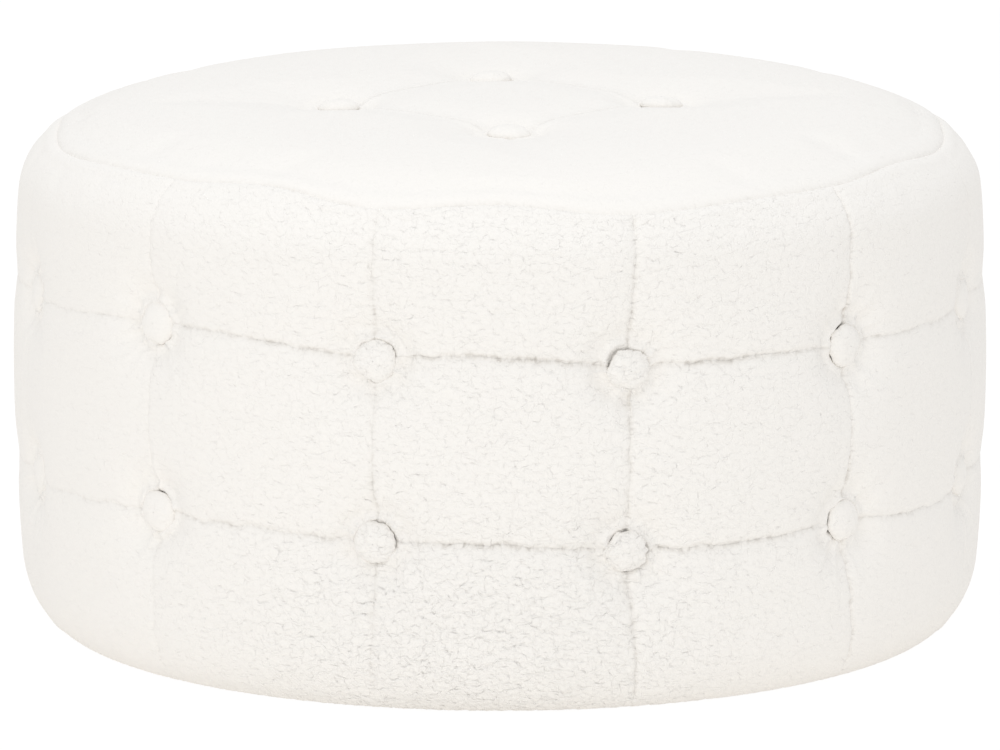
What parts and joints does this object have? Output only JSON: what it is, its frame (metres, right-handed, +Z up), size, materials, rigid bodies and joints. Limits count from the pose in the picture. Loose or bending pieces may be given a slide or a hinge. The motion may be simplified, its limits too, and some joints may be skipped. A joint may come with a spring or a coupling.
{
  "type": "round tufted pouffe",
  "caption": "Low round pouffe in off-white curly pile fabric, tufted with covered buttons on its sides and top; a soft seat, footrest or side table that stands on its flat underside.",
  "frame": {"origin": "middle of the flat underside, on the surface that the pouffe stands on", "axes": "+Z up; -Y is the front as pictured, with +X to its right"},
  "size_m": [0.7796, 0.7796, 0.4219],
  "materials": {
    "pile_fabric": "short curly pile, matt",
    "button_fabric": "the same curly pile, drawn over a button",
    "base_cloth": "plain matt cloth"
  },
  "bodies": {
    "root": {"side_band": "pile_fabric", "top_panel": "pile_fabric", "base_panel": "base_cloth", "side_button_upper_01": "button_fabric", "side_button_upper_02": "button_fabric", "side_button_upper_03": "button_fabric", "side_button_upper_04": "button_fabric", "side_button_upper_05": "button_fabric", "side_button_upper_06": "button_fabric", "side_button_upper_07": "button_fabric", "side_button_upper_08": "button_fabric", "side_button_upper_09": "button_fabric", "side_button_upper_10": "button_fabric", "side_button_upper_11": "button_fabric", "side_button_upper_12": "button_fabric", "side_button_lower_01": "button_fabric", "side_button_lower_02": "button_fabric", "side_button_lower_03": "button_fabric", "side_button_lower_04": "button_fabric", "side_button_lower_05": "button_fabric", "side_button_lower_06": "button_fabric", "side_button_lower_07": "button_fabric", "side_button_lower_08": "button_fabric", "side_button_lower_09": "button_fabric", "side_button_lower_10": "button_fabric", "side_button_lower_11": "button_fabric", "side_button_lower_12": "button_fabric", "top_button_front": "button_fabric", "top_button_right": "button_fabric", "top_button_back": "button_fabric", "top_button_left": "button_fabric"}
  },
  "joints": []
}
